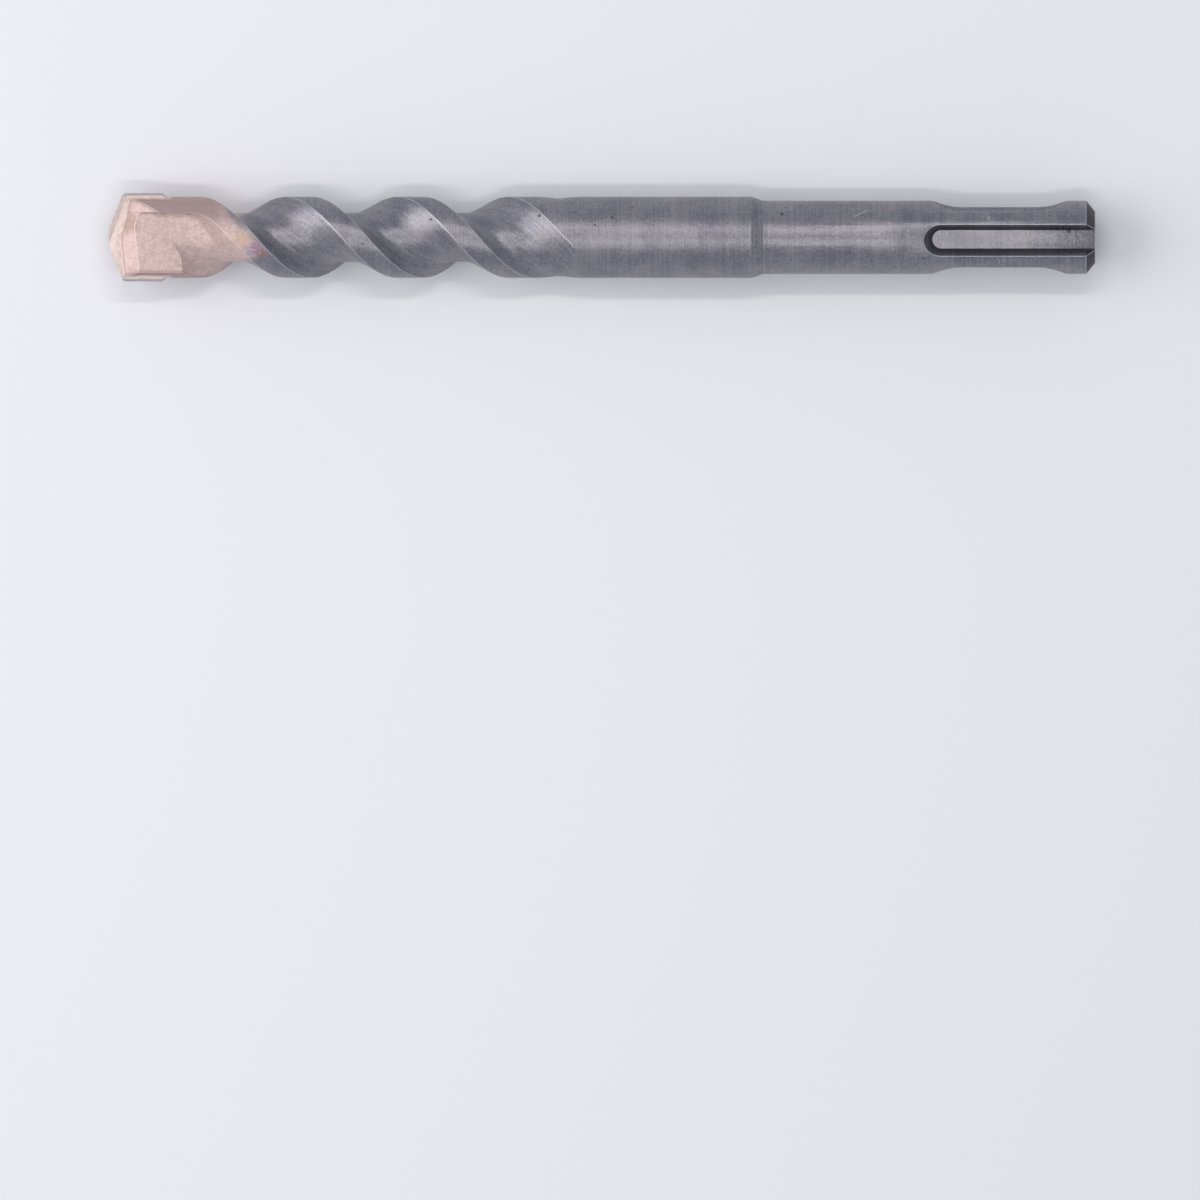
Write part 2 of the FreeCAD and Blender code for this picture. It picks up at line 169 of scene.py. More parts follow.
def makeBlastGroup():  # the fine pitted grain of shot-blasting, with softer clouds in it
    inputs = {"cloudSize": 6.0, "speckSize": 0.35, "pitRate": 0.55, "pitFrom": 0.70, "pitTo": 0.78,
              "pitDepth": 0.6, "fineRate": 2.6, "fineShare": 0.3}
    group, given, result = newGroup("blastedGrain", inputs, ["cloud", "speck", "pit", "height"])
    place = millimetres(group)
    cloud = noise(group, place, calc(group, "DIVIDE", 1.0, given["cloudSize"]), *softNoise)
    speckScale = calc(group, "DIVIDE", 1.0, given["speckSize"])
    speck = noise(group, place, speckScale, *speckNoise)
    pitNoise = noise(group, place, calc(group, "MULTIPLY", speckScale, given["pitRate"]))
    pit = between(group, pitNoise, given["pitFrom"], given["pitTo"])
    fine = noise(group, place, calc(group, "MULTIPLY", speckScale, given["fineRate"]))
    grain = blendValue(group, given["fineShare"], speck, fine)
    height = calc(group, "SUBTRACT", grain, calc(group, "MULTIPLY", pit, given["pitDepth"]))
    for name, value in (("cloud", cloud), ("speck", speck), ("pit", pit), ("height", height)):
        group.links.new(value, result[name])
    return group


def makeTurningGroup():  # fine rings across the bit, as a lathe leaves them
    group, given, result = newGroup("turningMarks", {"spacing": 0.3, "stretch": 0.06}, ["mark"])
    apart = addNode(group, "ShaderNodeSeparateXYZ", {0: millimetres(group)}).outputs
    along = calc(group, "MULTIPLY", apart[0], calc(group, "DIVIDE", 1.0, given["spacing"]))
    across = calc(group, "MULTIPLY", apart[1], given["stretch"])
    deep = calc(group, "MULTIPLY", apart[2], given["stretch"])
    line = addNode(group, "ShaderNodeCombineXYZ", {0: along, 1: across, 2: deep}).outputs[0]
    group.links.new(noise(group, line, 1.0, *softNoise), result["mark"])
    return group


def makeHelixGroup():  # fine streaks that run along the flutes
    group, given, result = newGroup("millingStreaks", {"lead": 30.4, "density": 11.0, "stretch": 0.16}, ["streak"])
    apart = addNode(group, "ShaderNodeSeparateXYZ", {0: millimetres(group)}).outputs
    turn = calc(group, "ARCTAN2", apart[2], apart[1])
    rate = calc(group, "DIVIDE", 2 * math.pi, given["lead"])
    phase = calc(group, "SUBTRACT", turn, calc(group, "MULTIPLY", apart[0], rate))
    wide = calc(group, "MULTIPLY", calc(group, "COSINE", phase), given["density"])
    tall = calc(group, "MULTIPLY", calc(group, "SINE", phase), given["density"])
    along = calc(group, "MULTIPLY", apart[0], given["stretch"])
    line = addNode(group, "ShaderNodeCombineXYZ", {0: wide, 1: tall, 2: along}).outputs[0]
    group.links.new(noise(group, line, 1.0, *softNoise), result["streak"])
    return group


def makeWashGroup():  # where brazing has left its copper, from the head back
    inputs = {"edgeFrom": -114.0, "edgeTo": -117.2, "bend": -2.2, "lean": 0.7, "fall": 1.8, "sideReach": 3.0,
              "raggedRate": 0.5, "raggedReach": 4.0, "bloomRate": 1.1}
    group, given, result = newGroup("copperWash", inputs, ["wash", "bloom"])
    place = millimetres(group)
    apart = addNode(group, "ShaderNodeSeparateXYZ", {0: place}).outputs
    ragged = calc(group, "SUBTRACT", noise(group, place, given["raggedRate"], *raggedNoise), 0.5)
    side = calc(group, "DIVIDE", apart[2], given["sideReach"])  # 1 on the upper half, -1 on the lower one
    side = calc(group, "MAXIMUM", calc(group, "MINIMUM", side, 1.0), -1.0)
    across = calc(group, "MULTIPLY", apart[1], side)
    lean = calc(group, "MULTIPLY", calc(group, "MAXIMUM", across, given["bend"]), given["lean"])
    below = calc(group, "MAXIMUM", calc(group, "SUBTRACT", given["bend"], across), 0.0)
    fall = calc(group, "MULTIPLY", below, given["fall"])
    ragged = calc(group, "MULTIPLY", ragged, given["raggedReach"])
    shift = calc(group, "ADD", calc(group, "ADD", lean, fall), ragged)
    along = calc(group, "ADD", apart[0], shift)
    group.links.new(between(group, along, given["edgeFrom"], given["edgeTo"]), result["wash"])
    group.links.new(noise(group, place, given["bloomRate"], *raggedNoise), result["bloom"])
    return group


markPlaces = {  # middle, full within and gone beyond, in millimetres; each is there twice, half a turn apart
    "gold": ((-116.3, -0.3, 5.4), 0.3, 1.9),
    "blue": ((-115.2, -2.0, 5.1), 0.2, 1.3),
    "violet": ((-114.4, -1.3, 5.3), 0.2, 1.1),
    "rust": ((-113.6, -2.2, 5.0), 0.1, 0.95),
    "tan": ((-132.4, 2.2, 2.9), 0.8, 2.6),
}
pitPlaces = (  # seen from above: along, across and width in millimetres
    (-65.85, 2.75, 0.2), (-42.7, 3.18, 0.22), (-75.8, 3.0, 0.2), (-90.65, 2.4, 0.17), (-68.2, 1.75, 0.14),
    (-99.9, -0.9, 0.14), (-23.4, -2.9, 0.12), (-3.5, 0.93, 0.3), (-4.3, 1.32, 0.2), (-5.2, 1.3, 0.2),
    (-5.9, 1.32, 0.14),
)
scratchPlaces = (  # middle, direction, half length and half width in millimetres
    ((-32.0, 3.25, 3.8), (0.9, 0.42, 0.0), 1.3, 0.035),
    ((-13.2, -3.1, 3.9), (0.45, -0.9, 0.0), 0.6, 0.03),
    ((-12.4, -3.0, 4.0), (0.42, -0.9, 0.0), 0.45, 0.03),
    ((-14.5, 2.6, 4.2), (0.7, 0.7, 0.0), 0.4, 0.03),
    ((-14.5, 2.6, 4.2), (0.7, -0.7, 0.0), 0.35, 0.03),
)
pitFade = (1.5, 0.5)  # shares of a pit's width where it begins and where it is full
scratchFade = (2.0, 0.6)  # where a scratch ends, in half widths, and where it starts to fade, in half lengths


def makeMarkGroup():  # heat colours behind each land, single pits and single scratches
    inputs = {"ragged": 3.0, "raggedRate": 1.6, "topFrom": 1.5}
    group, given, result = newGroup("singleMarks", inputs, list(markPlaces) + ["pit", "scratch"])
    place = millimetres(group)
    apart = addNode(group, "ShaderNodeSeparateXYZ", {0: place}).outputs
    side = calc(group, "SIGN", apart[2])
    across = calc(group, "MULTIPLY", apart[1], side)
    height = calc(group, "MULTIPLY", apart[2], side)
    turned = addNode(group, "ShaderNodeCombineXYZ", {0: apart[0], 1: across, 2: height}).outputs[0]
    rough = calc(group, "SUBTRACT", noise(group, place, given["raggedRate"], *raggedNoise), 0.5)
    rough = calc(group, "MULTIPLY", rough, given["ragged"])
    for name, (centre, inner, outer) in markPlaces.items():
        away = vectorCalc(group, "DISTANCE", turned, centre).outputs["Value"]
        group.links.new(between(group, calc(group, "ADD", away, rough), outer, inner), result[name])
    onTop = calc(group, "GREATER_THAN", apart[2], given["topFrom"])
    flat = addNode(group, "ShaderNodeCombineXYZ", {0: apart[0], 1: apart[1]}).outputs[0]
    pits = 0.0
    for along, across, width in pitPlaces:
        away = vectorCalc(group, "DISTANCE", flat, (along, across, 0)).outputs["Value"]
        pits = calc(group, "MAXIMUM", pits, between(group, away, pitFade[0] * width, pitFade[1] * width))
    group.links.new(calc(group, "MULTIPLY", pits, onTop), result["pit"])
    lines = 0.0
    for centre, along, halfLength, halfWidth in scratchPlaces:
        offset = vectorCalc(group, "SUBTRACT", place, centre).outputs[0]
        run = vectorCalc(group, "DOT_PRODUCT", offset, along).outputs["Value"]
        off = vectorCalc(group, "DOT_PRODUCT", offset, (-along[1], along[0], 0.0)).outputs["Value"]
        thin = between(group, calc(group, "ABSOLUTE", off), scratchFade[0] * halfWidth, halfWidth)
        short = between(group, calc(group, "ABSOLUTE", run), halfLength, scratchFade[1] * halfLength)
        line = calc(group, "MULTIPLY", calc(group, "MULTIPLY", thin, short), onTop)
        lines = calc(group, "MAXIMUM", lines, line)
    group.links.new(lines, result["scratch"])
    return group


def makeShankShadeGroup():  # painted shade on the walls of the drive slots and on the chamfer at the end of the shank
    inputs = {"slotEnd": -23.9, "slotHalf": 2.5, "slotTurn": math.radians(5.5), "wallFrom": 2.88, "wallFull": 2.98,
              "wallFade": 3.2, "wallTo": 4.7, "chamferFrom": -1.22, "chamferReach": 3.45}
    group, given, result = newGroup("shankPaintedShade", inputs, ["wall", "chamfer"])
    apart = addNode(group, "ShaderNodeSeparateXYZ", {0: millimetres(group)}).outputs
    cosine = calc(group, "COSINE", given["slotTurn"])
    sine = calc(group, "SINE", given["slotTurn"])
    away = calc(group, "ABSOLUTE", mixSum(group, (apart[1], cosine), (apart[2], sine)))
    tall = calc(group, "MULTIPLY", apart[2], cosine)
    high = calc(group, "ABSOLUTE", calc(group, "SUBTRACT", tall, calc(group, "MULTIPLY", apart[1], sine)))
    inside = calc(group, "MULTIPLY", calc(group, "GREATER_THAN", apart[0], given["slotEnd"]),
                  calc(group, "LESS_THAN", away, given["slotHalf"]))
    band = calc(group, "MULTIPLY", between(group, high, given["wallFrom"], given["wallFull"]),
                between(group, high, given["wallTo"], given["wallFade"]))
    group.links.new(calc(group, "MULTIPLY", inside, band), result["wall"])
    cone = calc(group, "GREATER_THAN", apart[0], given["chamferFrom"])
    edge = calc(group, "GREATER_THAN", fromAxis(group, apart), given["chamferReach"])
    group.links.new(calc(group, "MULTIPLY", cone, edge), result["chamfer"])
    return group


blastGroup = makeBlastGroup()
shankShadeGroup = makeShankShadeGroup()
markGroup = makeMarkGroup()
turningGroup = makeTurningGroup()
helixGroup = makeHelixGroup()
washGroup = makeWashGroup()

steelFinish = {
    "dark": rgb(119, 118, 126),
    "light": rgb(149, 146, 150),
    "warm": rgb(144, 137, 136),
    # lighter colour of the rounded edges: rubbed wear and a painted highlight
    "edgeWearAndHighlight": rgb(206, 206, 212),
    "pit": rgb(58, 55, 58),
    # the colour of the painted shade in the drive slots and on the end chamfer
    "shankShade": rgb(52, 50, 53),
    "copper": rgb(206, 181, 175),
    "copperShade": rgb(184, 159, 153),
    # painted light on the front of the head
    "copperPaintedFront": rgb(200, 174, 166),
    "copperEdgeAndHighlight": rgb(228, 202, 194),
    # painted shade on the outer flanks of the head
    "copperFlankShade": rgb(160, 134, 132),
    "copperDeep": rgb(150, 116, 112),
    "scratch": rgb(196, 196, 200),
}
heatColours = {  # with the share that each covers where it is full
    "gold": (rgb(196, 164, 138), 0.5),
    "blue": (rgb(134, 132, 166), 0.5),
    "violet": (rgb(140, 92, 120), 0.6),
    "rust": (rgb(170, 104, 74), 0.5),
    "tan": (rgb(166, 138, 126), 0.85),
}
bumpReach = 0.02 * mm
steelLook = {  # sizes in millimetres, rates in waves to a millimetre, the rest in shares
    "cloudSize": 4.0,
    "speckSize": 0.3,
    "turnSpacing": 0.2,
    "cutReach": (5.52, 5.42),
    "cutEnd": (-66.0, -68.0),
    "shadeParts": (0.3, 0.42, 0.28),
    "shadeRange": (0.40, 0.61),
    "warmRate": 0.6,
    "warmRange": (0.5, 0.72),
    "warmShare": 0.3,
    "pitShare": 0.6,
    "wallShare": 0.6,
    "chamferShare": 0.8,
    "copperParts": (0.4, 0.6),
    "copperRange": (0.38, 0.62),
    "paintedFrontRange": (-131.4, -132.6),
    "paintedFrontShare": 0.8,
    "copperPitShare": 0.5,
    "flankShadeReach": (5.2, 5.4),
    "flankShadeRange": (-118.0, -120.5),
    "flankShadeShare": 0.75,
    "markShare": 0.7,
    "edgeShare": 0.5,
    "groundFrom": -45.3,
    "roughness": 0.32,
    "groundRoughness": -0.04,
    "shadeRoughness": 0.24,
    "washRoughness": 0.52,
    "shankShadeRoughness": 0.6,
    "metallic": 0.9,
    "washMetallic": 0.4,
    "swellRate": 0.16,
    "rippleRate": 1.5,
    "rippleNoise": (2.0, 0.55),
    "grainHeight": 1.8,
    "lineHeight": 0.6,
    "swellHeight": 6.0,
    "rippleHeight": 1.8,
    "pitHeight": -2.0,
    "scratchHeight": -1.2,
    "bump": 0.85,
}


def makeShader(name):
    material = bpy.data.materials.new(name)
    material.use_nodes = True
    tree = material.node_tree
    return material, tree, tree.nodes["Principled BSDF"]


def connect(tree, shader, **values):
    for name, value in values.items():
        socket = shader.inputs[name.replace("_", " ")]
        if isinstance(value, bpy.types.NodeSocket):
            tree.links.new(value, socket)
        else:
            socket.default_value = value


def cover(tree, mask, share, first, second):  # the second colour over the first, where the mask is
    return blendColour(tree, calc(tree, "MULTIPLY", mask, share), first, second)


def edgeWearAndHighlightShare(tree):
    return addNode(tree, "ShaderNodeAttribute", attribute_name="edgeWearAndHighlight").outputs["Fac"]


def makeSteel():
    look = steelLook
    tones = steelFinish
    material, tree, shader = makeShader("blastedSteel")
    blast = useGroup(tree, blastGroup, cloudSize=look["cloudSize"], speckSize=look["speckSize"])
    turned = useGroup(tree, turningGroup, spacing=look["turnSpacing"])["mark"]
    streak = useGroup(tree, helixGroup)["streak"]
    washed = useGroup(tree, washGroup)
    shankShade = useGroup(tree, shankShadeGroup)
    marks = useGroup(tree, markGroup)
    place = millimetres(tree)
    apart = addNode(tree, "ShaderNodeSeparateXYZ", {0: place}).outputs
    reach = fromAxis(tree, apart)

    # bare steel, turned on the shank and milled in the flutes
    cut = calc(tree, "MULTIPLY", between(tree, reach, *look["cutReach"]), between(tree, apart[0], *look["cutEnd"]))
    lines = blendValue(tree, cut, turned, streak)
    shade = mixSum(tree, *zip((blast["cloud"], blast["speck"], lines), look["shadeParts"]))
    steel = blendColour(tree, between(tree, shade, *look["shadeRange"]), tones["dark"], tones["light"])
    warmth = between(tree, noise(tree, place, look["warmRate"], *softNoise), *look["warmRange"])
    steel = cover(tree, warmth, look["warmShare"], steel, tones["warm"])
    steel = cover(tree, blast["pit"], look["pitShare"], steel, tones["pit"])
    # painted shade: the slot walls and the end chamfer are darkened for the shade that falls on them
    shankShadeShare = calc(tree, "MAXIMUM", calc(tree, "MULTIPLY", shankShade["wall"], look["wallShare"]),
                calc(tree, "MULTIPLY", shankShade["chamfer"], look["chamferShare"]))
    steel = blendColour(tree, shankShadeShare, steel, tones["shankShade"])

    # copper left by the brazing, with painted shade on the outer flanks of the head and painted light on its front
    grain = mixSum(tree, *zip((washed["bloom"], blast["speck"]), look["copperParts"]))
    copper = blendColour(tree, between(tree, grain, *look["copperRange"]), tones["copperShade"], tones["copper"])
    # painted light: the front of the head gets a flat, slightly lighter copper tone for the light that falls on it
    paintedFront = between(tree, apart[0], *look["paintedFrontRange"])
    copper = cover(tree, paintedFront, look["paintedFrontShare"], copper, tones["copperPaintedFront"])
    copper = cover(tree, blast["pit"], look["copperPitShare"], copper, tones["copperDeep"])
    # painted shade: the outer flanks of the head, which tilt away from the light, are darkened
    flankShade = calc(tree, "MULTIPLY", between(tree, reach, *look["flankShadeReach"]),
                   between(tree, apart[0], *look["flankShadeRange"]))
    copper = cover(tree, flankShade, look["flankShadeShare"], copper, tones["copperFlankShade"])
    colour = blendColour(tree, washed["wash"], steel, copper)

    # heat colours, single marks, and worn edges made lighter with a painted highlight
    for name, (tone, share) in heatColours.items():
        colour = cover(tree, marks[name], share, colour, tone)
    colour = cover(tree, marks["pit"], look["markShare"], colour, tones["pit"])
    colour = cover(tree, marks["scratch"], look["markShare"], colour, tones["scratch"])
    wornAndHighlit = blendColour(tree, washed["wash"], tones["edgeWearAndHighlight"], tones["copperEdgeAndHighlight"])
    # painted highlight: the rounded edges are lightened, partly for rubbed wear and partly for the bright lines
    # that light draws along them
    colour = cover(tree, edgeWearAndHighlightShare(tree), look["edgeShare"], colour, wornAndHighlit)

    ground = calc(tree, "GREATER_THAN", apart[0], look["groundFrom"])
    roughness = mixSum(tree, (look["roughness"], 1.0), (ground, look["groundRoughness"]),
                       (shade, look["shadeRoughness"]))
    roughness = blendValue(tree, washed["wash"], roughness, look["washRoughness"])
    roughness = blendValue(tree, shankShadeShare, roughness, look["shankShadeRoughness"])
    metallic = blendValue(tree, washed["wash"], look["metallic"], look["washMetallic"])
    swell = noise(tree, place, look["swellRate"])
    ripple = noise(tree, place, look["rippleRate"], *look["rippleNoise"])
    height = mixSum(tree, (blast["height"], look["grainHeight"]), (lines, look["lineHeight"]),
                    (swell, look["swellHeight"]), (ripple, look["rippleHeight"]),
                    (marks["pit"], look["pitHeight"]), (marks["scratch"], look["scratchHeight"]))
    bump = addNode(tree, "ShaderNodeBump", {"Strength": look["bump"], "Distance": bumpReach, "Height": height})
    connect(tree, shader, Base_Color=colour, Roughness=roughness, Metallic=metallic, Normal=bump.outputs[0])
    return material


carbideLook = {  # sizes in millimetres, the rest in shares
    "cloudSize": 2.0,
    "speckSize": 0.2,
    "grainParts": (0.5, 0.5),
    "grainRange": (0.38, 0.6),
    "washShade": rgb(186, 164, 156),
    "wash": rgb(212, 192, 184),
    "ground": rgb(158, 154, 158),
    "groundRange": (5.5, 5.75),
    "groundShare": 0.75,
    "edge": rgb(196, 198, 210),
    "edgeShare": 0.45,
    "roughness": 0.36,
    "speckRoughness": 0.2,
    "metallic": 0.45,
    "bump": 0.45,
}


def makeCarbide():  # pink with braze on its faces, ground grey on its outer sides
    look = carbideLook
    material, tree, shader = makeShader("sinteredCarbide")
    blast = useGroup(tree, blastGroup, cloudSize=look["cloudSize"], speckSize=look["speckSize"])
    washed = useGroup(tree, washGroup)
    grain = mixSum(tree, *zip((washed["bloom"], blast["speck"]), look["grainParts"]))
    pink = blendColour(tree, between(tree, grain, *look["grainRange"]), look["washShade"], look["wash"])
    across = addNode(tree, "ShaderNodeSeparateXYZ", {0: millimetres(tree)}).outputs[1]
    bare = between(tree, calc(tree, "ABSOLUTE", across), *look["groundRange"])
    colour = cover(tree, bare, look["groundShare"], pink, look["ground"])
    # the rounded edges of the plate get a lighter colour, partly wear and partly painted highlight
    colour = cover(tree, edgeWearAndHighlightShare(tree), look["edgeShare"], colour, look["edge"])
    inputs = {"Strength": look["bump"], "Distance": bumpReach, "Height": blast["height"]}
    bump = addNode(tree, "ShaderNodeBump", inputs)
    roughness = mixSum(tree, (look["roughness"], 1.0), (blast["speck"], look["speckRoughness"]))
    connect(tree, shader, Base_Color=colour, Roughness=roughness, Metallic=look["metallic"], Normal=bump.outputs[0])
    return material


brazeLook = {  # sizes in millimetres, the rest in shares
    "cloudSize": 1.2,
    "speckSize": 0.15,
    "cloudRange": (0.35, 0.65),
    "shade": rgb(182, 158, 150),
    "tone": rgb(206, 184, 175),
    "roughness": 0.34,
    "speckRoughness": 0.25,
    "metallic": 0.5,
    "bump": 0.4,
}


def makeBraze():
    look = brazeLook
    material, tree, shader = makeShader("copperBraze")
    blast = useGroup(tree, blastGroup, cloudSize=look["cloudSize"], speckSize=look["speckSize"])
    colour = blendColour(tree, between(tree, blast["cloud"], *look["cloudRange"]), look["shade"], look["tone"])
    inputs = {"Strength": look["bump"], "Distance": bumpReach, "Height": blast["height"]}
    bump = addNode(tree, "ShaderNodeBump", inputs)
    roughness = mixSum(tree, (look["roughness"], 1.0), (blast["speck"], look["speckRoughness"]))
    connect(tree, shader, Base_Color=colour, Roughness=roughness, Metallic=look["metallic"], Normal=bump.outputs[0])
    return material


steelMaterial = makeSteel()
carbideMaterial = makeCarbide()
brazeMaterial = makeBraze()
print("finishes made")

bodyCare = {
    "mergeDistance": 0.012 * mm,
    "sharpAngle": 24.0,
    "edgeRadius": 0.07 * mm,
    "edgeSegments": 2,
    "edgeProfile": 0.5,
    "smoothAngle": 40.0,
    "turnedEdges": (-46.9 * mm, -45.3 * mm),
    "turnedAngle": 8.0,
    "turnedSlack": 0.01 * mm,
    "rimFrom": -76.0 * mm,
    "rimTo": -71.2 * mm,
    "rimReach": 5.5 * mm,
    "rimAngle": 7.0,
    "gashEnd": -124.5 * mm,
    "gashHeight": 2.95 * mm,
    "gashSlack": 0.15 * mm,
    "fluteFrom": -124.2 * mm,
    "fluteTo": -54.0 * mm,
    "fluteReach": 5.48 * mm,
    "fluteStep": 3.5 * mm,
}


def wornEdges(work, care):  # the edges that stand out, without the seam between gash and flute
    limit = math.radians(care["sharpAngle"])
    turned = math.radians(care["turnedAngle"])
    shallow = math.radians(care["rimAngle"])
    chosen = []
    for edge in work.edges:
        if len(edge.link_faces) != 2:
            continue
        angle = edge.calc_face_angle(0)
        ends = [corner.co for corner in edge.verts]
        onTurned = any(all(abs(end.x - place) < care["turnedSlack"] for end in ends)
                       for place in care["turnedEdges"])
        onSeam = all(abs(end.x - care["gashEnd"]) < care["gashSlack"] and abs(end.z) < care["gashHeight"]
                     for end in ends)
        onRim = all(care["rimFrom"] < end.x < care["rimTo"] and math.hypot(end.y, end.z) > care["rimReach"]
                    for end in ends)
        standsOut = edge.is_convex and not onSeam and angle > (shallow if onRim else limit)
        if standsOut or (onTurned and angle > turned):
            chosen.append(edge)
    return chosen


def fluteShares(work, wornAndHighlit, care):  # 1 at the corners that lie well inside a flute, else 0
    rim = {corner for face in wornAndHighlit for corner in face.verts}
    for face in work.faces:
        reach = max(math.hypot(corner.co.y, corner.co.z) for corner in face.verts)
        longest = max(edge.calc_length() for edge in face.edges)
        if reach > care["fluteReach"] or longest > care["fluteStep"]:
            rim.update(face.verts)
    inside = [care["fluteFrom"] < corner.co.x < care["fluteTo"] and corner not in rim for corner in work.verts]
    return [1.0 if flag else 0.0 for flag in inside]


def onTurnedEdge(face, care):  # the rings of the cone aren't polished by wear and get no painted highlight
    middle = face.calc_center_median().x
    return any(abs(middle - place) < 2 * care["edgeRadius"] for place in care["turnedEdges"])


def carriedCopy(nodeName, objectName, care, material):
    # A merged copy of the solid with its hard edges worn round, as blasting leaves them.
    work = bmesh.new()
    work.from_mesh(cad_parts[nodeName].data)
    bmesh.ops.remove_doubles(work, verts=work.verts, dist=care["mergeDistance"])
    bmesh.ops.dissolve_degenerate(work, dist=care["mergeDistance"], edges=work.edges)
    sharp = wornEdges(work, care)
    made = bmesh.ops.bevel(work, geom=sharp, offset=care["edgeRadius"], offset_type="OFFSET",
                           segments=care["edgeSegments"], profile=care["edgeProfile"], affect="EDGES",
                           clamp_overlap=False)
    wornAndHighlit = set(made["faces"])
    split = bmesh.ops.triangulate(work, faces=[face for face in work.faces if len(face.verts) > 3])
    wornAndHighlit = {face for face in work.faces if split["face_map"].get(face, face) in wornAndHighlit}
    bmesh.ops.recalc_face_normals(work, faces=work.faces)
    work.faces.index_update()
    work.verts.index_update()
    shares = fluteShares(work, wornAndHighlit, care)
    # the rounded edge faces are marked for the lighter colour of wear and painted highlight
    marks = [1.0 if face in wornAndHighlit and not onTurnedEdge(face, care) else 0.0 for face in work.faces]
    for face in work.faces:
        face.smooth = True
        face.material_index = 0
    clean = bpy.data.meshes.new(objectName)
    work.to_mesh(clean)
    work.free()
    loaded = clean.attributes.get("custom_normal")  # the CAD's own normals no longer fit
    if loaded:
        clean.attributes.remove(loaded)
    clean.attributes.new("edgeWearAndHighlight", "FLOAT", "FACE").data.foreach_set("value", marks)
    clean.attributes.new("fluteShare", "FLOAT", "POINT").data.foreach_set("value", shares)
    clean.set_sharp_from_angle(angle=math.radians(care["smoothAngle"]))
    clean.materials.append(material)
    piece = bpy.data.objects.new(objectName, clean)
    bpy.context.scene.collection.objects.link(piece)
    print(objectName, "faces", len(clean.polygons), "hard edges", len(sharp))
    return piece


smootherSizes = {"level": 1, "passes": 10}


def makeFluteSmoother():  # divides the faces and lets the flutes' surfaces settle between their edges
    group, given, result = newBuilder("fluteSmoother", smootherSizes)
    inputs = {"Mesh": given["Geometry"], "Level": given["level"]}
    finer = addNode(group, "GeometryNodeSubdivideMesh", inputs).outputs[0]
    place = group.nodes.new("GeometryNodeInputPosition").outputs[0]
    share = addNode(group, "GeometryNodeInputNamedAttribute", {"Name": "fluteShare"}, data_type="FLOAT").outputs[0]
    inputs = {"Value": place, "Iterations": given["passes"], "Weight": share}
    settled = addNode(group, "GeometryNodeBlurAttribute", data_type="FLOAT_VECTOR")
    for word, value in inputs.items():
        socket = [item for item in settled.inputs if item.name == word and item.enabled][0]
        group.links.new(value, socket)
    moved = [item for item in settled.outputs if item.enabled][0]
    calm = addNode(group, "GeometryNodeSetPosition", {"Geometry": finer, "Position": moved}).outputs[0]
    closeBuilder(group, result, calm, steelMaterial)
    return group


steelBody = carriedCopy("steel_body", "toolBody", bodyCare, steelMaterial)
buildWith(makeFluteSmoother(), smootherSizes, steelBody)
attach(steelBody, "root")
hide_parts("steel_body")

plateCare = dict(bodyCare, edgeRadius=0.05 * mm)
carbidePlate = carriedCopy("carbide_plate", "cuttingPlate", plateCare, carbideMaterial)
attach(carbidePlate, "root")
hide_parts("carbide_plate")

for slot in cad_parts["braze_joint"].material_slots:
    slot.material = brazeMaterial

ringSizes = {
    "count": 5,
    "back": -46.5 * mm,
    "front": -44.82 * mm,
    "coneBack": -46.9 * mm,
    "coneFront": -45.3 * mm,
    "largeRadius": 5.535 * mm,
    "smallRadius": 5.0 * mm,
    "wire": 0.07 * mm,
    "sunk": 0.035 * mm,
    "around": 120,
    "wireSides": 6,
}


def makeRingBuilder():  # fine ridges that the lathe left on the cone and just beside it
    group, given, result = newBuilder("turnedRings", ringSizes)
    step = calc(group, "DIVIDE", calc(group, "SUBTRACT", given["front"], given["back"]),
                calc(group, "SUBTRACT", given["count"], 1))
    start = addNode(group, "ShaderNodeCombineXYZ", {0: given["back"]}).outputs[0]
    offset = addNode(group, "ShaderNodeCombineXYZ", {0: step}).outputs[0]
    inputs = {"Count": given["count"], "Start Location": start, "Offset": offset}
    line = addNode(group, "GeometryNodeMeshLine", inputs).outputs[0]
    place = group.nodes.new("GeometryNodeInputPosition").outputs[0]
    along = addNode(group, "ShaderNodeSeparateXYZ", {0: place}).outputs[0]
    inputs = {"Value": along, "From Min": given["coneBack"], "From Max": given["coneFront"],
              "To Min": given["largeRadius"], "To Max": given["smallRadius"]}
    reach = addNode(group, "ShaderNodeMapRange", inputs).outputs[0]
    circle = addNode(group, "GeometryNodeCurvePrimitiveCircle", {"Resolution": given["around"], "Radius": 1.0})
    inputs = {"Geometry": circle.outputs[0], "Rotation": (0, math.pi / 2, 0)}
    upright = addNode(group, "GeometryNodeTransform", inputs).outputs[0]
    seated = calc(group, "SUBTRACT", reach, given["sunk"])
    scale = addNode(group, "ShaderNodeCombineXYZ", {0: seated, 1: seated, 2: seated}).outputs[0]
    inputs = {"Points": line, "Instance": upright, "Scale": scale}
    rings = addNode(group, "GeometryNodeInstanceOnPoints", inputs).outputs[0]
    loops = addNode(group, "GeometryNodeRealizeInstances", {"Geometry": rings}).outputs[0]
    inputs = {"Resolution": given["wireSides"], "Radius": given["wire"]}
    profile = addNode(group, "GeometryNodeCurvePrimitiveCircle", inputs).outputs[0]
    ridge = addNode(group, "GeometryNodeCurveToMesh", {"Curve": loops, "Profile Curve": profile}).outputs[0]
    closeBuilder(group, result, ridge, steelMaterial)
    return group


turnedRings = buildWith(makeRingBuilder(), ringSizes, newHolder("turnedRings"))
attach(turnedRings, "root")

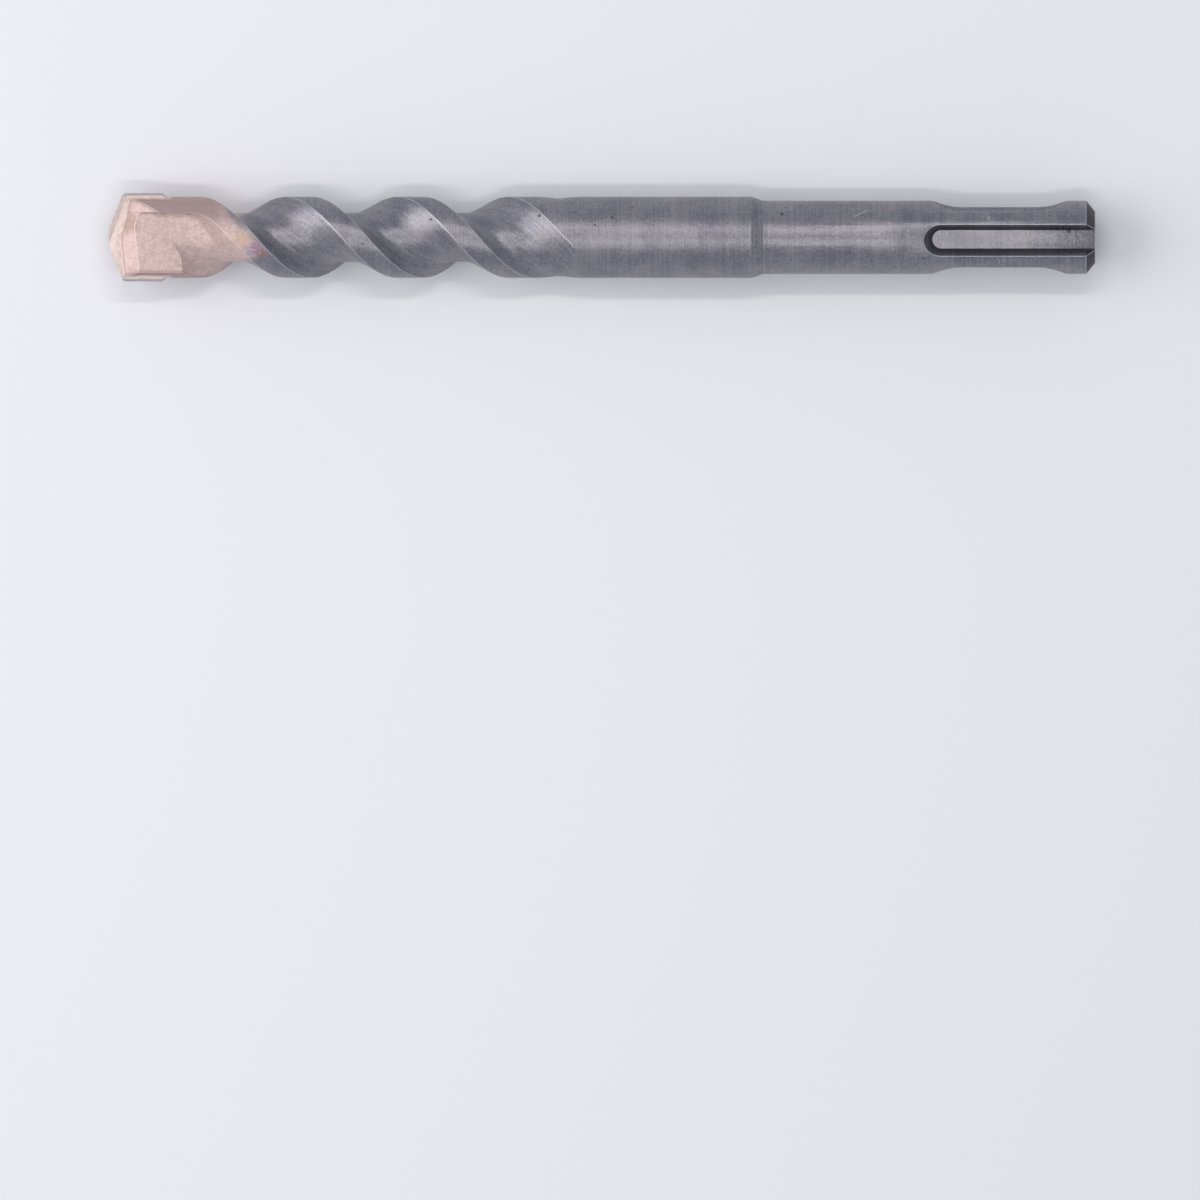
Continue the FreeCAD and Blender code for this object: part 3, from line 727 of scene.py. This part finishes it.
beadSizes = {
    "wire": 0.13 * mm,
    "stepLength": 0.12 * mm,
    "waver": 0.09 * mm,
    "waverScale": 1100.0,
    "waverDetail": 2.0,
    "wireSides": 8,
}
beadRoute = {
    "skin": 0.02 * mm,
    "backGap": 0.3 * mm,
    "outerFrom": 4.6 * mm,
    "sunk": 0.05 * mm,
}


def brazeRoute(side):  # where the film of braze comes to the surface, at the top or at the underside
    corners = [corner.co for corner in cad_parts["braze_joint"].data.vertices]
    level = max(corner.z * side for corner in corners)
    back = max(corner.x for corner in corners)
    skin = {(round(corner.x, 6), round(corner.y, 6)) for corner in corners
            if corner.z * side > level - beadRoute["skin"]}
    outer = [place for place in skin
             if place[0] < back - beadRoute["backGap"] or abs(place[1]) > beadRoute["outerFrom"]]
    outer.sort(key=lambda place: math.atan2(place[1], back - place[0]))
    return [(x, y, side * (level - beadRoute["sunk"])) for x, y in outer]


def makeBeadBuilder():  # an uneven bead of braze along a route
    group, given, result = newBuilder("brazeBead", beadSizes)
    line = addNode(group, "GeometryNodeMeshToCurve", {0: given["Geometry"]}).outputs[0]
    fine = addNode(group, "GeometryNodeResampleCurve", mode="LENGTH")
    group.links.new(line, fine.inputs["Curve"])
    group.links.new(given["stepLength"], fine.inputs["Length"])
    place = group.nodes.new("GeometryNodeInputPosition").outputs[0]
    inputs = {"Vector": place, "Scale": given["waverScale"], "Detail": given["waverDetail"]}
    wild = addNode(group, "ShaderNodeTexNoise", inputs).outputs["Color"]
    centred = vectorCalc(group, "SUBTRACT", wild, (0.5, 0.5, 0.5)).outputs[0]
    push = addNode(group, "ShaderNodeVectorMath", {0: centred, 3: given["waver"]}, operation="SCALE").outputs[0]
    moved = addNode(group, "GeometryNodeSetPosition", {"Geometry": fine.outputs[0], "Offset": push}).outputs[0]
    inputs = {"Resolution": given["wireSides"], "Radius": given["wire"]}
    profile = addNode(group, "GeometryNodeCurvePrimitiveCircle", inputs).outputs[0]
    inputs = {"Curve": moved, "Profile Curve": profile, "Fill Caps": True}
    bead = addNode(group, "GeometryNodeCurveToMesh", inputs).outputs[0]
    smooth = addNode(group, "GeometryNodeSetShadeSmooth", {"Geometry": bead}).outputs[0]
    closeBuilder(group, result, smooth, brazeMaterial)
    return group


beadBuilder = makeBeadBuilder()
for side, label in ((1, "brazeBeadTop"), (-1, "brazeBeadUnder")):
    route = brazeRoute(side)
    steps = [(index, index + 1) for index in range(len(route) - 1)]
    bead = buildWith(beadBuilder, beadSizes, newHolder(label, route, steps))
    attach(bead, "root")

stageSizes = {
    "floorHeight": -5.56 * mm,
    "floorHalf": 1.6,
    "cameraHeight": 1.5,
    "viewWidth": 0.1637,
    "aimAcross": -0.06754,
    "aimUp": -0.04948,
    "clipStart": 0.01,
    "clipEnd": 20,
    "bitMiddle": -0.0673,
}
roomLook = {  # strengths are at the horizon, high up and below the horizon
    "tone": rgb(222, 228, 242),
    "lowTone": rgb(236, 238, 244),
    "floorTone": rgb(226, 226, 228),
    "floorRoughness": 0.85,
    "strengths": (0.86, 0.52, 1.0),
    "highFrom": 0.9,
    "lowFrom": -0.02,
}
fluteLamp = {
    "place": (-0.69, 0.03, 0.49),
    "aim": (-0.09, 0, 0),
    "sizes": (0.66, 0.66),
    "power": 3.7,
    "colour": (1, 0.98, 0.96),
}
stripLamps = {  # degrees from straight above toward +Y, width across the bit and power
    "upperStrip": (23.0, 0.045, 1.15),
    "lowerStrip": (-15.0, 0.04, 1.05),
}
stripSizes = {
    "reach": 0.8,
    "length": 0.42,
    "colour": (1, 0.97, 0.945),
}


def makeFloor():
    half = stageSizes["floorHalf"]
    height = stageSizes["floorHeight"]
    mesh = bpy.data.meshes.new("floor")
    corners = [(-half, -half, height), (half, -half, height), (half, half, height), (-half, half, height)]
    mesh.from_pydata(corners, [], [(0, 1, 2, 3)])
    material, tree, shader = makeShader("palePaper")
    connect(tree, shader, Base_Color=roomLook["floorTone"], Roughness=roomLook["floorRoughness"])
    mesh.materials.append(material)
    floor = bpy.data.objects.new("floor", mesh)
    bpy.context.scene.collection.objects.link(floor)


def addLamp(name, place, aim, sizes, power, colour):
    lamp = bpy.data.lights.new(name, "AREA")
    lamp.shape = "RECTANGLE"
    lamp.size, lamp.size_y = sizes
    lamp.energy = power
    lamp.color = colour
    holder = bpy.data.objects.new(name, lamp)
    holder.location = place
    holder.rotation_euler = (Vector(aim) - Vector(place)).to_track_quat("-Z", "Y").to_euler()
    holder.visible_camera = False
    bpy.context.scene.collection.objects.link(holder)
    return holder


def addStrip(name, angle, width, power):  # a long lamp along the bit
    turn = math.radians(angle)
    reach = stripSizes["reach"]
    middle = (stageSizes["bitMiddle"], reach * math.sin(turn), reach * math.cos(turn))
    aim = (stageSizes["bitMiddle"], 0, 0)
    lamp = addLamp(name, middle, aim, (stripSizes["length"], width), power, stripSizes["colour"])
    lamp.rotation_euler = (-turn, 0, 0)


def makeWorld():
    # A plain room, brighter near the horizon than overhead. Below it, it looks as the floor does.
    world = bpy.data.worlds.new("softRoom")
    world.use_nodes = True
    bpy.context.scene.world = world
    tree = world.node_tree
    direction = tree.nodes.new("ShaderNodeTexCoord").outputs["Generated"]
    height = addNode(tree, "ShaderNodeSeparateXYZ", {0: direction}).outputs[2]
    backdrop = tree.nodes["Background"]
    level, overhead, low = roomLook["strengths"]
    below = between(tree, height, 0.0, roomLook["lowFrom"])
    tone = blendColour(tree, below, roomLook["tone"], roomLook["lowTone"])
    above = between(tree, height, 0.0, roomLook["highFrom"], level, overhead)
    tree.links.new(tone, backdrop.inputs["Color"])
    tree.links.new(blendValue(tree, below, above, low), backdrop.inputs["Strength"])


makeFloor()
makeWorld()
addLamp("fluteLight", **fluteLamp)
for name, (angle, width, power) in stripLamps.items():
    addStrip(name, angle, width, power)

lens = bpy.data.cameras.new("camera")
lens.type = "ORTHO"
lens.ortho_scale = stageSizes["viewWidth"]
lens.clip_start = stageSizes["clipStart"]
lens.clip_end = stageSizes["clipEnd"]
camera = bpy.data.objects.new("camera", lens)
camera.location = (stageSizes["aimAcross"], stageSizes["aimUp"], stageSizes["cameraHeight"])
bpy.context.scene.collection.objects.link(camera)
bpy.context.scene.camera = camera
bpy.context.scene.view_settings.view_transform = "Standard"
print("stage set")

bpy.context.view_layer.update()
